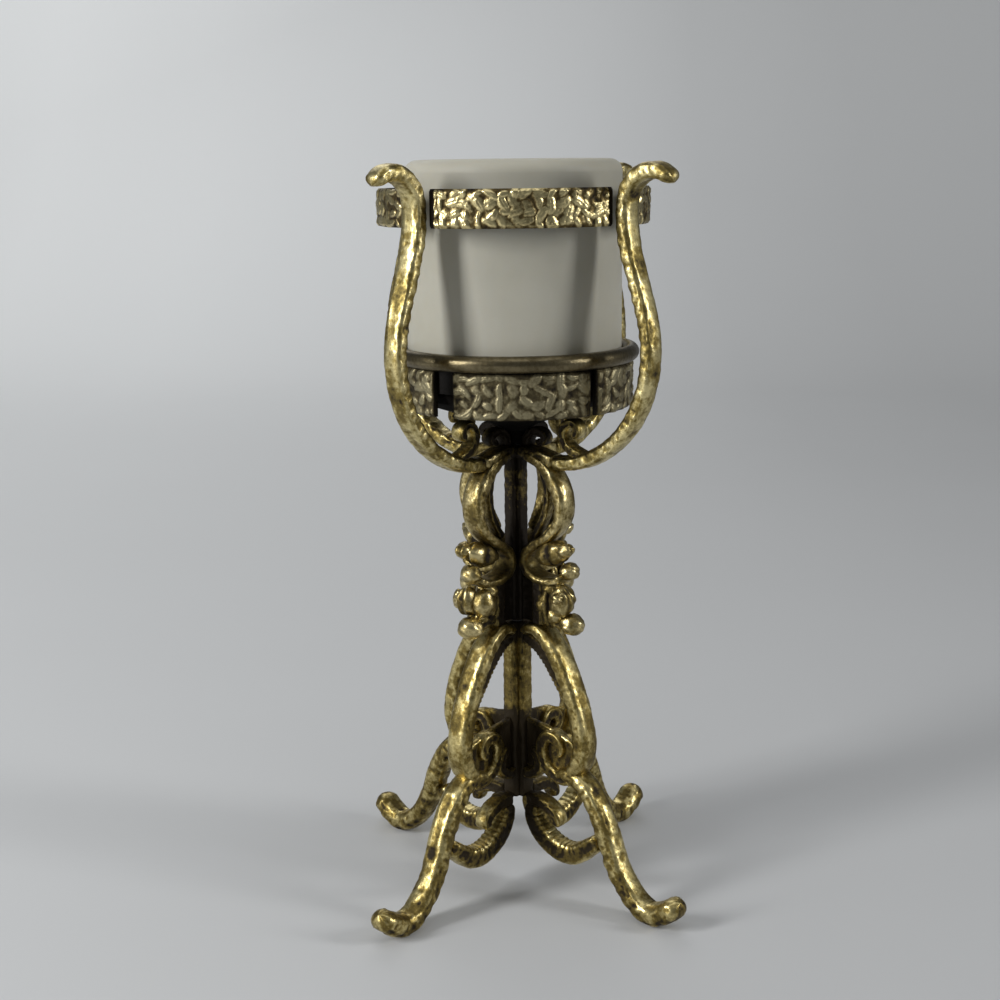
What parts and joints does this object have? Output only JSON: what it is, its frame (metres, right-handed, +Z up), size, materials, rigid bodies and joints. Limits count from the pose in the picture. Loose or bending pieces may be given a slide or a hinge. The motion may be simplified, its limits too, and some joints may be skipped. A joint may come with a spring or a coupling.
{
  "type": "candlestick",
  "caption": "Ornate cast candlestick: legs with upturned toes, a scrolled stem, a drip pan and swept arms with curved bands that hold a pillar candle upright.",
  "frame": {"origin": "middle of the footprint, on the surface that the toes stand on", "axes": "+Z up; the brackets lie along +X, +Y, -X and -Y; the pictured side is seen from between -Y and +X"},
  "size_m": [0.1536, 0.1536, 0.2682],
  "materials": {
    "gilt_base": "antiqued gilt casting, bright ridges, brown-black recesses",
    "gilt_stem": "antiqued gilt casting, darker towards the axis",
    "gilt_arm": "antiqued gilt casting with bark-like dents",
    "gilt_upper_band": "low leafy relief, gilt on a dark ground",
    "gilt_lower_band": "low leafy relief, duller and greyer than the upper band",
    "gilt_pan": "plain rolled rim, olive-brown patina",
    "dark_post": "blackened",
    "candle_wax": "off-white wax, slightly translucent",
    "wick_cotton": "burnt cotton"
  },
  "bodies": {
    "stand": {"base_right": "gilt_base", "base_back": "gilt_base", "base_left": "gilt_base", "base_front": "gilt_base", "stem_right": "gilt_stem", "stem_back": "gilt_stem", "stem_left": "gilt_stem", "stem_front": "gilt_stem", "arm_right": "gilt_arm", "arm_back": "gilt_arm", "arm_left": "gilt_arm", "arm_front": "gilt_arm", "upper_plaque_right": "gilt_upper_band", "upper_plaque_back": "gilt_upper_band", "upper_plaque_left": "gilt_upper_band", "upper_plaque_front": "gilt_upper_band", "lower_plaque_right": "gilt_lower_band", "lower_plaque_back": "gilt_lower_band", "lower_plaque_left": "gilt_lower_band", "lower_plaque_front": "gilt_lower_band", "drip_pan": "gilt_pan", "pan_post": "dark_post"},
    "candle": {"candle": "candle_wax", "wick": "wick_cotton"}
  },
  "joints": [
    {"name": "candle_lift", "type": "slide", "parent": "stand", "child": "candle", "axis": [0, 0, 1], "range_m": [0, 0.085]}
  ]
}
